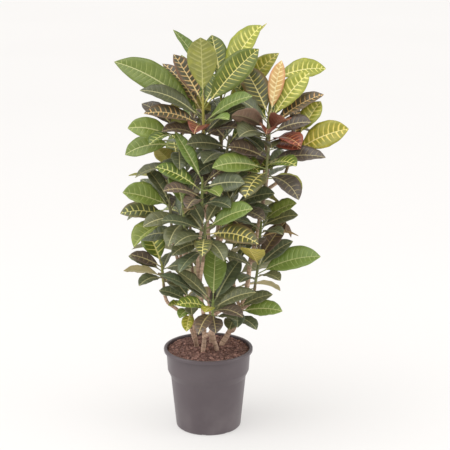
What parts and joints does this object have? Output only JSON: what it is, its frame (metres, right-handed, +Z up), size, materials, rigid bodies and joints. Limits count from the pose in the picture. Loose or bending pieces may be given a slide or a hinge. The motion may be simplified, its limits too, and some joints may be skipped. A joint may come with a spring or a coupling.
{
  "type": "potted croton",
  "caption": "Bushy potted croton with leathery variegated leaves on woody stems in a round nursery pot.",
  "frame": {"origin": "centre of the pot's underside, on the floor", "axes": "+Z up, +X to the right and -Y to the front of the plant"},
  "size_m": [0.6046, 0.5014, 1.0808],
  "materials": {
    "pot": "satin",
    "soil": "matte",
    "bark": "matte",
    "leaf": "satin"
  },
  "bodies": {
    "root": {"pot": "pot", "soil": "soil", "stem_front": "bark", "stem_middle": "bark", "stem_right": "bark", "stem_left": "bark", "stem_back": "bark", "shoot_crown_left": "leaf", "shoot_crown_right": "leaf", "shoot_far_right": "leaf", "shoot_left_middle": "leaf", "shoot_upper_right": "leaf", "shoot_upper_front": "leaf", "shoot_middle_front": "leaf", "shoot_left_front": "leaf", "shoot_upper_left": "leaf", "shoot_right_middle": "leaf", "shoot_right_lower": "leaf", "shoot_left_lower": "leaf", "shoot_low_front": "leaf", "shoot_low_right": "leaf", "shoot_low_left": "leaf", "shoot_centre_upper": "leaf", "shoot_centre_middle": "leaf", "shoot_centre_low": "leaf", "shoot_left_inner": "leaf", "shoot_crown_back": "leaf", "shoot_back_crown_right": "leaf", "shoot_back_crown_left": "leaf", "shoot_back_upper": "leaf", "shoot_back_left": "leaf", "shoot_back_right": "leaf", "shoot_back_middle": "leaf", "shoot_back_low_left": "leaf", "shoot_back_low_right": "leaf"}
  },
  "joints": []
}
